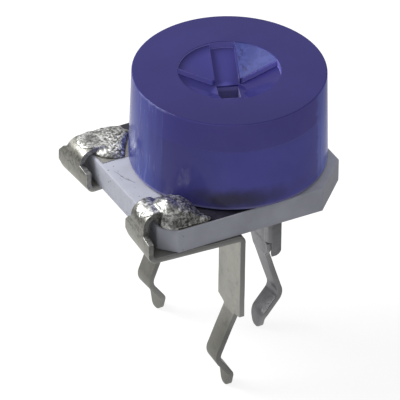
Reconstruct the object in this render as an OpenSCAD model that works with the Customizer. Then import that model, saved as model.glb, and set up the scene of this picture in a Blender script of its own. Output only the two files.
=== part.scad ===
// Single-turn trimmer potentiometer with an open frame: a ceramic base on three folded leads,
// and a plastic rotor turned by a screwdriver.
// Frame: the origin is on the rotor's axis at the board's surface, +Z is up,
// the two end leads are at -X, the wiper lead is at +X and the front is at -Y.

/* [Leads] */
// Distance between the two end leads
lead_pitch_y = 5.0; // [4.5:0.1:6.0]
// Distance from the line of the end leads to the wiper lead
lead_pitch_x = 2.5; // [2.0:0.1:3.2]
// Height of the base's underside above the board
stand_off = 3.4; // [2.6:0.1:4.4]
// Length of a lead below the board
lead_length = 3.15; // [2.5:0.01:3.9]
// Width of a lead
lead_width = 0.78; // [0.6:0.02:0.95]
// Thickness of the lead sheet
sheet = 0.2; // [0.15:0.01:0.24]

/* [End terminals] */
// Width of the leg and of the flange under the base
leg_width = 1.70; // [1.2:0.02:1.75]
// How far an end lead's kink swings out
end_kink_out = 0.69; // [0.4:0.01:0.8]
// How far an end lead's tip swings back
end_kink_back = 0.56; // [0.3:0.01:0.7]
// Gap between the base's side and the upright of the clip
clip_gap = 0.3; // [0.2:0.01:0.4]
// Sideways shift of the clip, because each end terminal is turned a little on its lead
clip_shift = 0.17; // [0.01:0.01:0.2]
// Reach of the upright's low side from the lead's middle
upright_low_side = 0.8; // [0.75:0.01:1.0]
// Reach of the upright's ear from the lead's middle
upright_ear_side = 1.1; // [1.0:0.01:1.3]
// Width of the hook that grips the base's top
hook_width = 1.0; // [0.8:0.02:1.2]
// Offset of the hook from the lead's middle
hook_offset = 0.15; // [0:0.01:0.2]
// Height of the front hook's crown above the base
front_hook_rise = 0.55; // [0.5:0.01:0.75]
// Slope of the front hook's arm, in degrees
front_hook_slope = 35; // [28:1:40]
// Height of the back hook's crown above the base
back_hook_rise = 0.27; // [0.26:0.01:0.32]
// Slope of the back hook's arm, in degrees
back_hook_slope = 5; // [4:0.5:8]

/* [Wiper terminal] */
// Width of the wiper leg
wiper_leg_width = 1.28; // [1.15:0.01:1.6]
// Depth of the two stiffening wings
wing_depth = 0.54; // [0.45:0.01:0.7]
// How far the wiper lead's kink swings out
wiper_kink_out = 0.6; // [0.4:0.01:0.75]
// How far the wiper lead's tip swings back
wiper_kink_back = 0.68; // [0.3:0.01:0.75]

/* [Ceramic base] */
// Length of the base from the rotor's axis to the clip side
base_clip_side = 4.13; // [4.0:0.01:5.0]
// Length of the base from the rotor's axis to the plain side
base_plain_side = 3.23; // [3.0:0.01:4.0]
// Width of the base
base_width = 6.48; // [6.3:0.02:7.8]
// Thickness of the base
base_thickness = 0.9; // [0.7:0.02:1.1]
// Corner cuts on the plain side
plain_corner = 1.33; // [1.0:0.01:1.6]
// Corner cuts on the clip side
clip_corner = 0.55; // [0.4:0.01:0.7]

/* [Rotor] */
// Diameter of the cap at its top
cap_top_d = 6.6; // [6.0:0.05:6.7]
// Diameter of the cap at its bottom rim
cap_rim_d = 6.76; // [6.2:0.01:6.8]
// Height of the cap
cap_height = 3.4; // [2.8:0.05:4.1]
// Thickness of the cap's wall at its rim
cap_wall = 0.62; // [0.5:0.01:0.65]
// Thickness of the cap's roof
cap_roof = 1.1; // [1.0:0.05:1.4]
// Diameter of the driver recess
recess_d = 3.5; // [3.0:0.05:4.0]
// Depth of the recess where its sloping sides meet the slots
recess_depth = 0.68; // [0.6:0.02:0.8]
// Width of the driver slots
slot_width = 0.84; // [0.7:0.02:1.0]
// Extra depth of the slots below the sloping sides
slot_step = 0.2; // [0.1:0.01:0.25]
// Side of the square hole where the slots cross
centre_hole = 0.74; // [0.6:0.02:0.8]
// Direction of the contact finger and one driver slot, in degrees from +X
rotor_angle = -19; // [-100:1:100]

/* [Fits] */
// Running clearance on the radius between the rivet and the contact disc
running_clear = 0.03; // [0.02:0.005:0.04]
// Clearance above and below the contact disc, and under the contact finger
axial_clear = 0.02; // [0.01:0.005:0.03]
// Clearance around the rivet in the base, and around the tabs in the cap
seat_clear = 0.01; // [0.005:0.005:0.02]
// Gap between the solder and the turning cap
solder_gap = 0.08; // [0.05:0.01:0.12]

/* [Hidden] */

$fn = 96;
// Cuts reach this far past what they cut, and a run of folded sheet laps this far into its bends
eps = 0.05;
lap = 0.005;

// Levels
deck = stand_off + base_thickness;
film = 0.02;
film_top = deck + film;

// Leads: the outer face of every leg is half a pitch from the axis
lead_x = lead_pitch_x / 2;
shoulder = 0.02;
elbow_rise = 1.34;
elbow_bend = 0.45;
tip_width = 0.38;
tip_round = 0.1;
tip_taper = 0.6;

// End terminals, with bend radii on the middle of the sheet
end_foot = 0.58;
end_foot_bend = 0.28;
end_kink_top = -0.1;
shoulder_cut = 0.07;
upright_x = base_clip_side + clip_gap - lead_x;
upright_mid = upright_x + sheet / 2;
clip_angle = asin(clip_shift / upright_mid);
foot_bend = 0.2;
leg_bend = 0.15;
crown_bend = 0.4;
upright_bottom = stand_off - sheet / 2 + foot_bend;
low_side_top = deck - 0.3;
ear_side_top = deck - 0.4;
ear_inner_top = deck - 0.08;

// Wiper terminal
eyelet_d = 2.9;
fold_bend = 0.15;
wing_top = stand_off - sheet / 2 - leg_bend - 0.1;
wing_round = 0.25;
notch_top = 0.58;
wiper_shoulder = 0.42;
wiper_foot = 0.5;
wiper_foot_bend = 0.5;
wiper_kink_top = -0.05;

// Film and pads: each pad is centred on its hook, and the track runs between the pads
film_margin = 0.04;
pad_inset = 0.1;
pad_right = -2.45;
pad_half = 1.02;
track_inner_r = 1.95;
track_outer_r = 2.95;

// Solder: a round cap over the hook's tip, with a low toe beside it. Each toe lists
// its offset in x and y from the cap's middle, its radius and its height.
solder_inset = 0.78;
solder_x = solder_inset - base_clip_side;
solder_r = 0.98;
front_solder_h = 0.5;
front_toe = [0.45, -0.52, 0.56, 0.26];
back_solder_h = 0.32;
back_toe = [0.5, -0.25, 0.75, 0.22];

// Rivet and contact disc
rivet_d = 1.9;
rivet_bore = 0.9;
rivet_flange_d = 2.6;
foot_clear = 0.1;
rivet_flange = 0.18;
neck_d = 1.5;
head_d = 2.2;
head = 0.18;
disc = 0.15;
disc_d = 4.6;
disc_bottom = deck + rivet_flange + axial_clear;
disc_top = disc_bottom + disc;
finger_width = 0.5;
finger_slot = 0.7;
finger_root = 1.6;
finger_touch = 2.38;
finger_tip = 2.6;
finger_lift = 0.08;
finger_sheet = 0.12;
tab_width = 0.8;
tab_height = 1.0;
tab_y = 1.95;

// Cap
cap_bottom = film_top + 0.04;
cap_top = cap_bottom + cap_height;
cap_edge = 0.14;
rim_edge = 0.05;
skirt_inner_r = cap_rim_d / 2 - cap_wall;
boss_bore = 2.6;
boss_bore_top = cap_top - recess_depth - slot_step - 0.55;
recess_lip = 0.05;
slot_corner_r = slot_width / sqrt(2);

// ---- Shapes that the pieces share ----

// Unit vector from a to b
function unit(a, b) = (b - a) / norm(b - a);
// Signed turn at b, on the way from a to c
function turn(a, b, c) =
    let (u = unit(a, b), v = unit(b, c))
    atan2(u[0] * v[1] - u[1] * v[0], u[0] * v[0] + u[1] * v[1]);

// Part of a flat ring that sweeps from its own x axis, r being the middle of its wall
module ring_part(r, wall, sweep) {
    reach = 2 * (r + wall);
    intersection() {
        difference() {
            circle(r + wall / 2);
            circle(r - wall / 2);
        }
        polygon([[0, 0], [reach, 0], reach * [cos(sweep / 2), sin(sweep / 2)],
                 reach * [cos(sweep), sin(sweep)]]);
    }
}

// Folded sheet seen edge on: runs along its middle line, with a round bend at each corner
module folded_sheet(points, radii, wall = sheet) {
    last = len(points) - 1;
    setback = [for (i = [0 : last])
        (i == 0 || i == last) ? 0
            : radii[i] * tan(abs(turn(points[i - 1], points[i], points[i + 1])) / 2)];
    for (i = [0 : last - 1]) {
        u = unit(points[i], points[i + 1]);
        from = (i == 0) ? 0 : setback[i] - lap;
        to = norm(points[i + 1] - points[i]) - ((i == last - 1) ? 0 : setback[i + 1] - lap);
        translate(points[i]) rotate(atan2(u[1], u[0]))
            translate([from, -wall / 2]) square([to - from, wall]);
    }
    for (i = [1 : last - 1]) {
        u = unit(points[i - 1], points[i]);
        sweep = turn(points[i - 1], points[i], points[i + 1]);
        side = sign(sweep);
        centre = points[i] - u * setback[i] + side * radii[i] * [-u[1], u[0]];
        translate(centre) rotate(atan2(u[1], u[0]) - side * 90) ring_part(radii[i], wall, sweep);
    }
}

// A shape drawn in x and z, with a width along y
module across(width) {
    rotate([90, 0, 0]) linear_extrude(width, center = true) children();
}

// A shape drawn in y and z, with a depth along +x
module along(depth) {
    rotate([90, 0, 90]) linear_extrude(depth) children();
}

// Lead below the board, from x = 0 to the sheet's thickness, with its kink toward +x
module lead(out, back, foot, foot_bend, kink_top) {
    mid = sheet / 2;
    half = lead_width / 2;
    tip = tip_width / 2;
    intersection() {
        across(lead_width) folded_sheet(
            [[mid, shoulder + eps], [mid, kink_top], [mid + out, elbow_rise - lead_length],
             [mid + out - back, foot - lead_length], [mid + out - back, -lead_length]],
            [0, elbow_bend / 2, elbow_bend, foot_bend, 0]);
        translate([-2, 0, 0]) along(4) polygon(
            [[-half, shoulder + eps], [-half, tip_taper - lead_length],
             [-tip, tip_round - lead_length], [tip_round - tip, -lead_length],
             [tip - tip_round, -lead_length], [tip, tip_round - lead_length],
             [half, tip_taper - lead_length], [half, shoulder + eps]]);
    }
}

// Leg above the board, with its shoulders rising by one height over one width at each corner
module leg_outline(width, top, cut_width, cut_height) {
    half = width / 2;
    foot = half - cut_width;
    polygon([[-foot, shoulder], [foot, shoulder], [half, shoulder + cut_height],
             [half, top], [-half, top], [-half, shoulder + cut_height]]);
}

// ---- Base, pads and film ----

// Outline of the base, drawn in by a margin
module base_outline(margin = 0) {
    left = -base_clip_side + margin;
    right = base_plain_side - margin;
    side = base_width / 2 - margin;
    near = clip_corner - margin * (2 - sqrt(2));
    far = plain_corner - margin * (2 - sqrt(2));
    polygon([[left, -side + near], [left + near, -side], [right - far, -side], [right, -side + far],
             [right, side - far], [right - far, side], [left + near, side], [left, side - near]]);
}

module ceramic_base() {
    color([0.72, 0.72, 0.76]) difference() {
        translate([0, 0, stand_off]) linear_extrude(base_thickness) base_outline();
        translate([0, 0, stand_off - eps])
            cylinder(d = rivet_d + 2 * seat_clear, h = base_thickness + 2 * eps);
    }
}

// Middle of a hook along y, where side is -1 at the front and 1 at the back
function hook_y(side) = side * (lead_pitch_y / 2 - clip_shift) + hook_offset;

module pad_outline(side) {
    left = pad_inset - base_clip_side;
    intersection() {
        base_outline(film_margin);
        translate([left, hook_y(side) - pad_half]) square([pad_right - left, 2 * pad_half]);
    }
}

module end_pad(side) {
    color([0.78, 0.77, 0.74]) translate([0, 0, deck]) linear_extrude(film) pad_outline(side);
}

module front_end_pad() {
    end_pad(-1);
}

module back_end_pad() {
    end_pad(1);
}

// Horseshoe of film round the rivet, with a straight tail to each pad
module resistive_track() {
    color([0.09, 0.09, 0.10]) translate([0, 0, deck]) linear_extrude(film) difference() {
        intersection() {
            base_outline(film_margin);
            translate([pad_right, -base_width]) square([base_plain_side - pad_right, 2 * base_width]);
            union() {
                circle(track_outer_r);
                translate([pad_right, -base_width]) square([-pad_right, 2 * base_width]);
            }
        }
        circle(track_inner_r);
        translate([pad_right - eps, -track_inner_r / 2]) square([eps - pad_right, track_inner_r]);
    }
}

// ---- Terminals ----

// Hook over the base's edge, from its own upright to the tip that rests on the pad
module hook(rise, slope) {
    // The middle lines of the upright and the arm cross above the round crown
    peak = deck + rise - sheet / 2 + crown_bend * (tan(45 + slope / 2) - 1);
    arm = (peak - film_top - sheet / 2 * cos(slope)) / sin(slope);
    translate([0, hook_offset, 0]) across(hook_width) folded_sheet(
        [[-upright_mid, low_side_top], [-upright_mid, peak],
         [-upright_mid + arm * cos(slope), peak - arm * sin(slope)]],
        [0, crown_bend, 0]);
}

// End terminal, one folded stamping, with the outer face of its lead at x = 0
module end_terminal(rise, slope) {
    hook_low = hook_offset - hook_width / 2;
    hook_high = hook_offset + hook_width / 2;
    ear_cut = ear_inner_top - ear_side_top;
    flange_z = stand_off - sheet / 2;
    hook(rise, slope);
    translate([-upright_x - sheet, 0, 0]) along(sheet) polygon(
        [[-upright_low_side, upright_bottom], [upright_ear_side, upright_bottom],
         [upright_ear_side, ear_side_top], [upright_ear_side - ear_cut, ear_inner_top],
         [hook_high, ear_inner_top], [hook_high, low_side_top], [-upright_low_side, low_side_top]]);
    across(leg_width) folded_sheet(
        [[-upright_mid, upright_bottom + sheet / 2], [-upright_mid, flange_z],
         [sheet / 2, flange_z], [sheet / 2, flange_z - leg_bend - eps]],
        [0, foot_bend, leg_bend, 0]);
    along(sheet) leg_outline(leg_width, flange_z - leg_bend, shoulder_cut, shoulder_cut);
    translate([sheet, 0, 0]) mirror([1, 0, 0])
        lead(end_kink_out, end_kink_back, end_foot, end_foot_bend, end_kink_top);
}

// Puts an end terminal's shape at its lead, turned so that the clips lean toward each other
module at_end_lead(side) {
    translate([-lead_x, side * lead_pitch_y / 2, 0]) rotate([0, 0, side * clip_angle]) children();
}

module front_terminal() {
    color([0.66, 0.66, 0.62]) at_end_lead(-1) end_terminal(front_hook_rise, front_hook_slope);
}

module back_terminal() {
    color([0.66, 0.66, 0.62]) at_end_lead(1) end_terminal(back_hook_rise, back_hook_slope);
}

// Wiper leg with a wing folded back at each side, and its narrowed shoulders
module wiper_leg() {
    wing_y = (wiper_leg_width - sheet) / 2;
    difference() {
        linear_extrude(wing_top) folded_sheet(
            [[wing_depth, -wing_y], [sheet / 2, -wing_y], [sheet / 2, wing_y], [wing_depth, wing_y]],
            [0, fold_bend, fold_bend, 0]);
        // Shoulders, cut through the sheet and both folds
        translate([-eps, 0, 0]) along(fold_bend + sheet / 2 + eps) difference() {
            translate([-wiper_leg_width, -eps]) square([2 * wiper_leg_width, notch_top + eps]);
            leg_outline(wiper_leg_width, notch_top + eps, (wiper_leg_width - lead_width) / 2,
                        wiper_shoulder);
        }
        // Relief notch beside each fold
        across(2 * wiper_leg_width) polygon(
            [[sheet + eps / 2, 0], [sheet / 2 + fold_bend, -eps], [sheet / 2 + fold_bend, shoulder],
             [sheet + eps / 2, notch_top]]);
        // Round outer corner at the foot of each wing
        translate([wing_depth - wing_round, 0, wing_round]) across(2 * wiper_leg_width) difference() {
            translate([0, -wing_round - eps]) square(wing_round + eps);
            circle(wing_round);
        }
    }
}

// Wiper terminal: an eyelet round the rivet, a strip under the base, the leg and its lead
module wiper_terminal() {
    strip_z = stand_off - sheet / 2;
    color([0.62, 0.62, 0.61]) difference() {
        union() {
            translate([0, 0, stand_off - sheet]) cylinder(d = eyelet_d, h = sheet);
            across(wiper_leg_width) folded_sheet(
                [[0, strip_z], [lead_x + sheet / 2, strip_z], [lead_x + sheet / 2, wing_top]],
                [0, leg_bend, 0]);
            translate([lead_x, 0, 0]) wiper_leg();
            translate([lead_x, 0, 0])
                lead(wiper_kink_out, wiper_kink_back, wiper_foot, wiper_foot_bend, wiper_kink_top);
        }
        translate([0, 0, stand_off - sheet - eps])
            cylinder(d = rivet_d + 2 * seat_clear, h = sheet + 2 * eps);
    }
}

// ---- Solder ----

// Low round cap of solder on the pads' surface
module solder_cap(x, y, r, h) {
    ball = (r * r + h * h) / (2 * h);
    translate([x, y, film_top]) rotate_extrude() intersection() {
        translate([0, h - ball]) circle(ball);
        square([r, h]);
    }
}

module end_solder(side, height, toe, rise, slope) {
    y = hook_y(side);
    color([0.60, 0.60, 0.58]) difference() {
        intersection() {
            translate([0, 0, film_top]) linear_extrude(height + eps) pad_outline(side);
            union() {
                solder_cap(solder_x, y, solder_r, height);
                solder_cap(solder_x + toe[0], y + toe[1], toe[2], toe[3]);
            }
        }
        translate([0, 0, deck]) cylinder(d = cap_rim_d + 2 * solder_gap, h = height + 2 * eps);
        at_end_lead(side) hook(rise, slope);
    }
}

module front_solder() {
    end_solder(-1, front_solder_h, front_toe, front_hook_rise, front_hook_slope);
}

module back_solder() {
    end_solder(1, back_solder_h, back_toe, back_hook_rise, back_hook_slope);
}

// ---- Rivet and rotor ----

// Tubular rivet: it clamps the wiper terminal to the base and holds the contact disc
module centre_rivet() {
    bottom = stand_off - sheet - rivet_flange;
    head_bottom = disc_top + axial_clear;
    color([0.70, 0.68, 0.60]) difference() {
        union() {
            translate([0, 0, bottom]) cylinder(r = lead_x - foot_clear, h = rivet_flange);
            translate([0, 0, bottom]) cylinder(d = rivet_d, h = deck - bottom + eps);
            translate([0, 0, deck]) cylinder(d = rivet_flange_d, h = rivet_flange);
            translate([0, 0, deck]) cylinder(d = neck_d, h = head_bottom - deck + eps);
            translate([0, 0, head_bottom]) cylinder(d = head_d, h = head);
        }
        translate([0, 0, bottom - eps]) cylinder(d = rivet_bore, h = head_bottom + head - bottom + 2 * eps);
    }
}

// Contact disc: its finger touches the film and its two tabs key it into the cap
module wiper_contact() {
    disc_z = (disc_bottom + disc_top) / 2;
    touch_z = film_top + axial_clear + finger_sheet / 2;
    color([0.74, 0.70, 0.60]) rotate([0, 0, rotor_angle]) {
        difference() {
            translate([0, 0, disc_bottom]) cylinder(d = disc_d, h = disc);
            translate([0, 0, disc_bottom - eps])
                cylinder(d = neck_d + 2 * running_clear, h = disc + 2 * eps);
            translate([finger_root, -finger_slot / 2, disc_bottom - eps])
                cube([disc_d, finger_slot, disc + 2 * eps]);
        }
        across(finger_width) folded_sheet(
            [[finger_root - eps, disc_z], [finger_root + 0.25, disc_z], [finger_touch, touch_z],
             [finger_tip, touch_z + finger_lift]],
            [0, 0.2, 0.2, 0], finger_sheet);
        for (side = [-1, 1])
            translate([-tab_width / 2, side * (tab_y + disc / 2) - disc / 2, disc_bottom])
                cube([tab_width, disc, disc + tab_height]);
    }
}

// Driver recess: sloping sides, two crossed slots and a square hole
module driver_recess() {
    cone = recess_depth - recess_lip;
    module dish() {
        translate([0, 0, -recess_depth]) cylinder(r1 = slot_corner_r, r2 = recess_d / 2, h = cone);
        translate([0, 0, -recess_lip]) cylinder(d = recess_d, h = recess_lip + 2 * slot_step);
    }
    translate([0, 0, cap_top]) {
        dish();
        intersection() {
            translate([0, 0, -slot_step]) dish();
            for (a = [0, 90])
                rotate(a) translate([-recess_d, -slot_width / 2, -recess_d])
                    cube([2 * recess_d, slot_width, 2 * recess_d]);
        }
        translate([-centre_hole / 2, -centre_hole / 2, boss_bore_top - cap_top - eps])
            cube([centre_hole, centre_hole, cap_top - boss_bore_top + 2 * eps]);
    }
}

module rotor_cap() {
    rim_r = cap_rim_d / 2;
    edge_r = cap_top_d / 2 - cap_edge;
    ceiling = cap_top - cap_roof;
    outline = concat(
        [[0, boss_bore_top], [boss_bore / 2, boss_bore_top], [boss_bore / 2, disc_top],
         [disc_d / 2, disc_top], [disc_d / 2, ceiling], [skirt_inner_r, ceiling],
         [skirt_inner_r, cap_bottom], [rim_r - rim_edge, cap_bottom], [rim_r, cap_bottom + rim_edge]],
        [for (a = [0 : 15 : 90]) [edge_r + cap_edge * cos(a), cap_top - cap_edge + cap_edge * sin(a)]],
        [[0, cap_top]]);
    color([0.16, 0.15, 0.55]) rotate([0, 0, rotor_angle]) difference() {
        rotate_extrude() polygon(outline);
        driver_recess();
        for (side = [-1, 1])
            translate([-tab_width / 2 - seat_clear, side * (tab_y + disc / 2) - disc / 2 - seat_clear,
                       disc_top - eps])
                cube([tab_width + 2 * seat_clear, disc + 2 * seat_clear, tab_height + seat_clear + eps]);
    }
}

ceramic_base();
resistive_track();
front_end_pad();
back_end_pad();
front_terminal();
back_terminal();
wiper_terminal();
front_solder();
back_solder();
centre_rivet();
wiper_contact();
rotor_cap();
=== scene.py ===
import math

import bmesh
import bpy
import numpy as np
from mathutils import Matrix, Vector, noise


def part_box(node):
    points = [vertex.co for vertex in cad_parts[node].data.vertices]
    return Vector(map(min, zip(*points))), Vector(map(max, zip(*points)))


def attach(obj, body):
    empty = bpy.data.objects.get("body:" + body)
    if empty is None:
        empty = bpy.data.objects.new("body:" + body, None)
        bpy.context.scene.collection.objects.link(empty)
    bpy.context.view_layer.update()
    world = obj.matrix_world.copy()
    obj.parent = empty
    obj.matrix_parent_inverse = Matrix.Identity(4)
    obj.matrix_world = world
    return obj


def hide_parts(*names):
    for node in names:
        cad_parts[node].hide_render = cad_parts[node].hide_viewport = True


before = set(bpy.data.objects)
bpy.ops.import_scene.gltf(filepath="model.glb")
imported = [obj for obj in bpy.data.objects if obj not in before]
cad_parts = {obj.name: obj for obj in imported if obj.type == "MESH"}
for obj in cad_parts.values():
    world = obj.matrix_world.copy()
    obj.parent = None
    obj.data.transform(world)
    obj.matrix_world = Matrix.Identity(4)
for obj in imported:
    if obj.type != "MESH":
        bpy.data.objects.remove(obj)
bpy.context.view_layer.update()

# Pieces are modelled in millimetres and brought to metres when they are finished.
MM = 0.001


def corners(node):
    """Lowest and highest corner of a CAD node, in millimetres."""
    low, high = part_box(node)
    return Vector(low) / MM, Vector(high) / MM


# ---- Sizes read from the frame, in millimetres ----

BASE_LOW, BASE_HIGH = corners("ceramic_base")
CAP_LOW, CAP_HIGH = corners("rotor_cap")
RIVET_LOW, RIVET_HIGH = corners("centre_rivet")
LEAD_TIP = corners("wiper_terminal")[0].z
FILM_TOP = corners("front_end_pad")[1].z
DECK = BASE_HIGH.z
UNDERSIDE = BASE_LOW.z
CAP_RADIUS = CAP_HIGH.x

# ---- Sizes of the pieces, in millimetres, and slopes in degrees ----

# Base: its cut corners on the clip side and on the plain side, and its hole's radius
CLIP_CORNER = 0.55
PLAIN_CORNER = 1.33
BASE_HOLE = 0.96

# Leads and legs: the wiper's at LEAD_X, the end leads' at -LEAD_X and LEAD_Y to each side
SHEET = 0.2
LEAD_WIDTH = 0.78
TIP_HALF = 0.2
TIP_TAPER = 0.6
TIP_ROUND = 0.16
LEG_WIDTH = 1.70
SHOULDER = 0.03
SHOULDER_CHAMFER = 0.05
LEAD_X = 1.25
LEAD_Y = 2.5

# Wiper terminal: its leg with shoulders (out, up), the wings folded back from it, and its eyelet
WIPER_WIDTH = 1.28
WIPER_SHOULDER = (0.25, 0.42)
WEB_HALF = WIPER_WIDTH / 2 - 0.24
RELIEF_HALF = 0.56
WING_DEPTH = 0.54
WING_CORNER = 0.25
RELIEF_TOP = 0.58
EYELET_RADIUS = 1.45

# Clips of the end terminals: uprights beside the base, with hooks over it
CLIP_GAP = 0.3
CLIP_SHIFT = 0.17
UPRIGHT = -BASE_LOW.x + CLIP_GAP - LEAD_X + SHEET / 2
UPRIGHT_RANGE = (-0.8, 1.1)
HOOK_RANGE = (-0.35, 0.65)
HOOK_Y = LEAD_Y - CLIP_SHIFT + 0.15
HOOK_BEND = 0.4
FRONT_RISE = 0.55
FRONT_SLOPE = 35
BACK_RISE = 0.27
BACK_SLOPE = 5

# Solder: where it lies, how near to the turning cap it may come, and its coat over the hook
SOLDER_X = BASE_LOW.x + 0.78
SOLDER_FIELD = (1.75, 2.12)
SOLDER_EDGE = CAP_RADIUS + 0.08
COAT_START = 0.4
COAT_THICKNESS = 0.08
SOLDER_VOXEL = 0.028

# Rivet: its radii, and the thickness of its foot, shoulder and head
RIVET_BORE = 0.45
RIVET_FOOT = 1.15
RIVET_SHANK = 0.95
RIVET_SHOULDER = 1.3
RIVET_NECK = 0.75
RIVET_HEAD = 1.1
RIVET_FLANGE = 0.18

# Cap
CAP_TOP_RADIUS = 3.3
SKIRT_INNER = 2.76
ROOF = 1.1
BOSS_RADIUS = 2.3
BORE_RADIUS = 1.3
BORE_TOP = CAP_HIGH.z - 1.43
RECESS_RADIUS = 1.75
RECESS_DEPTH = 0.68
RECESS_LIP = 0.05
SLOT_WIDTH = 0.84
SLOT_STEP = 0.2
CENTRE_HOLE = 0.74
TAB_Y = 2.025
TAB_HEIGHT = 1.0
POCKET_WIDTH = 0.82
POCKET_DEPTH = 0.17
DISC_TOP = corners("wiper_contact")[1].z - TAB_HEIGHT
ROTOR_ANGLE = math.radians(-19)

# Main view: its camera stands in front of the part, a little to the left
VIEW_AZIMUTH = math.radians(-28.4712)


# ---- Materials ----


class Nodes:
    """A short way to add and join the nodes of one tree."""

    def __init__(self, tree):
        self.tree = tree

    def add(self, kind, inputs=None, **settings):
        """A node with its settings, and its inputs by name or number as values or links."""
        node = self.tree.nodes.new(kind)
        for name, value in settings.items():
            setattr(node, name, value)
        for name, value in (inputs or {}).items():
            socket = node.inputs[name]
            if isinstance(value, bpy.types.NodeSocket):
                self.tree.links.new(value, socket)
            else:
                socket.default_value = value
        return node

    def math(self, operation, *values):
        """One step of arithmetic."""
        inputs = dict(enumerate(values))
        return self.add("ShaderNodeMath", inputs, operation=operation).outputs["Value"]

    def times(self, product, *others):
        """The product of two or more numbers."""
        for other in others:
            product = self.math("MULTIPLY", product, other)
        return product

    def distance(self, value, middle):
        """How far a number is from a middle value, either way."""
        return self.math("ABSOLUTE", self.math("SUBTRACT", value, middle))

    def vector(self, operation, *values):
        """One step of vector arithmetic."""
        inputs = dict(enumerate(values))
        node = self.add("ShaderNodeVectorMath", inputs, operation=operation)
        return node.outputs["Value" if operation in ("DOT_PRODUCT", "LENGTH") else "Vector"]

    def scaled(self, vector, factor):
        """A vector times a number."""
        inputs = {0: vector, "Scale": factor}
        return self.add("ShaderNodeVectorMath", inputs, operation="SCALE").outputs["Vector"]

    def split(self, vector):
        """The X, Y and Z of a vector."""
        return self.add("ShaderNodeSeparateXYZ", {"Vector": vector}).outputs

    def blend(self, factor, a, b):
        """Mixes two colours."""
        node = self.add("ShaderNodeMix", {"Factor": factor}, data_type="RGBA")
        for socket, value in zip((node.inputs[6], node.inputs[7]), (a, b)):
            if isinstance(value, bpy.types.NodeSocket):
                self.tree.links.new(value, socket)
            else:
                socket.default_value = (*value, 1)
        return node.outputs[2]

    def steps(self, value, from_low, from_high, low=0.0, high=1.0):
        """Carries one range of numbers to another, smoothly at both ends."""
        return self.add(
            "ShaderNodeMapRange",
            {"Value": value, "From Min": from_low, "From Max": from_high, "To Min": low, "To Max": high},
            interpolation_type="SMOOTHSTEP",
        ).outputs["Result"]

    def steps_mm(self, value, from_low, from_high, low=0.0, high=1.0):
        """The same for a length, with its range in millimetres."""
        return self.steps(value, from_low * MM, from_high * MM, low, high)

    def place(self):
        """Object coordinates, in metres."""
        return self.add("ShaderNodeTexCoord").outputs["Object"]

    def noise(self, size_mm, detail=3.0, roughness=0.55, stretch=(1, 1, 1)):
        """Noise on Object coordinates with features of about this size."""
        mapping = self.add("ShaderNodeMapping", {"Vector": self.place(), "Scale": stretch})
        inputs = {
            "Vector": mapping.outputs["Vector"],
            "Scale": 1 / (size_mm * MM),
            "Detail": detail,
            "Roughness": roughness,
        }
        return self.add("ShaderNodeTexNoise", inputs).outputs["Fac"]

    def ramp(self, factor, stops):
        """A colour ramp through (place, colour) stops."""
        node = self.add("ShaderNodeValToRGB", {"Fac": factor})
        elements = node.color_ramp.elements
        while len(elements) < len(stops):
            elements.new(0.5)
        for element, (place, colour) in zip(elements, stops):
            element.position = place
            element.color = (*colour, 1)
        return node.outputs["Color"]

    def bump(self, height, depth_mm, strength):
        """A bump whose depth is given in millimetres."""
        inputs = {"Height": height, "Distance": depth_mm * MM, "Strength": strength}
        return self.add("ShaderNodeBump", inputs).outputs["Normal"]

    def attribute(self, name):
        """A number that the mesh carries on its points or faces."""
        return self.add("ShaderNodeAttribute", attribute_name=name).outputs["Fac"]


def new_material(name):
    """A material with an empty tree, its helper and its output node."""
    material = bpy.data.materials.new(name)
    material.use_nodes = True
    material.node_tree.nodes.clear()
    nodes = Nodes(material.node_tree)
    return material, nodes, nodes.add("ShaderNodeOutputMaterial")


def surface(nodes, output, **sockets):
    """The Principled shader of a material, with its sockets named by words joined by underscores."""
    inputs = {name.replace("_", " "): value for name, value in sockets.items()}
    shader = nodes.add("ShaderNodeBsdfPrincipled", inputs)
    nodes.tree.links.new(shader.outputs["BSDF"], output.inputs["Surface"])


def shade(colour, factor):
    """A darker tone of a colour."""
    return tuple(c * factor for c in colour)


def hairline(nodes, place):
    """Mask of a hairline crack that runs along the base's clip side and wanders a little."""
    wander = nodes.times(nodes.noise(0.4, detail=4), 0.5 * MM)
    across = nodes.math("SUBTRACT", nodes.math("ADD", place["X"], wander), (BASE_LOW.x + 0.75) * MM)
    across = nodes.math("MULTIPLY_ADD", place["Y"], 0.25, across)
    line = nodes.steps_mm(nodes.math("ABSOLUTE", across), 0.035, 0.012)
    start = nodes.steps_mm(place["Y"], -0.1, 0.05)
    end = nodes.steps_mm(place["Y"], 0.95, 0.75)
    return nodes.times(line, start, end)


def ceramic_material():
    """Fired ceramic: faint clouds, a fine tooth, a hairline and a few dark specks by the clip side."""
    material, nodes, output = new_material("ceramic")
    cloud = nodes.noise(1.3, detail=5)
    tooth = nodes.noise(0.05, detail=3, roughness=0.7)
    specks = nodes.steps(nodes.noise(0.11, detail=1), 0.685, 0.76)
    place = nodes.split(nodes.place())
    by_clips = nodes.steps_mm(place["X"], BASE_LOW.x + 1.1, BASE_LOW.x + 0.3)
    wear_and_highlight = nodes.math(
        "MAXIMUM", nodes.times(specks, by_clips, 0.8), nodes.times(hairline(nodes, place), 0.55)
    )
    colour = nodes.ramp(cloud, [(0.32, (0.425, 0.437, 0.498)), (0.68, (0.53, 0.545, 0.624))])
    colour = nodes.blend(wear_and_highlight, colour, (0.09, 0.09, 0.10))
    height = nodes.math("SUBTRACT", tooth, nodes.times(wear_and_highlight, 2.0))
    surface(
        nodes,
        output,
        Base_Color=colour,
        Roughness=nodes.steps(tooth, 0.3, 0.7, 0.42, 0.55),
        Specular_IOR_Level=0.35,
        Normal=nodes.bump(height, 0.004, 0.6),
    )
    return material


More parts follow.
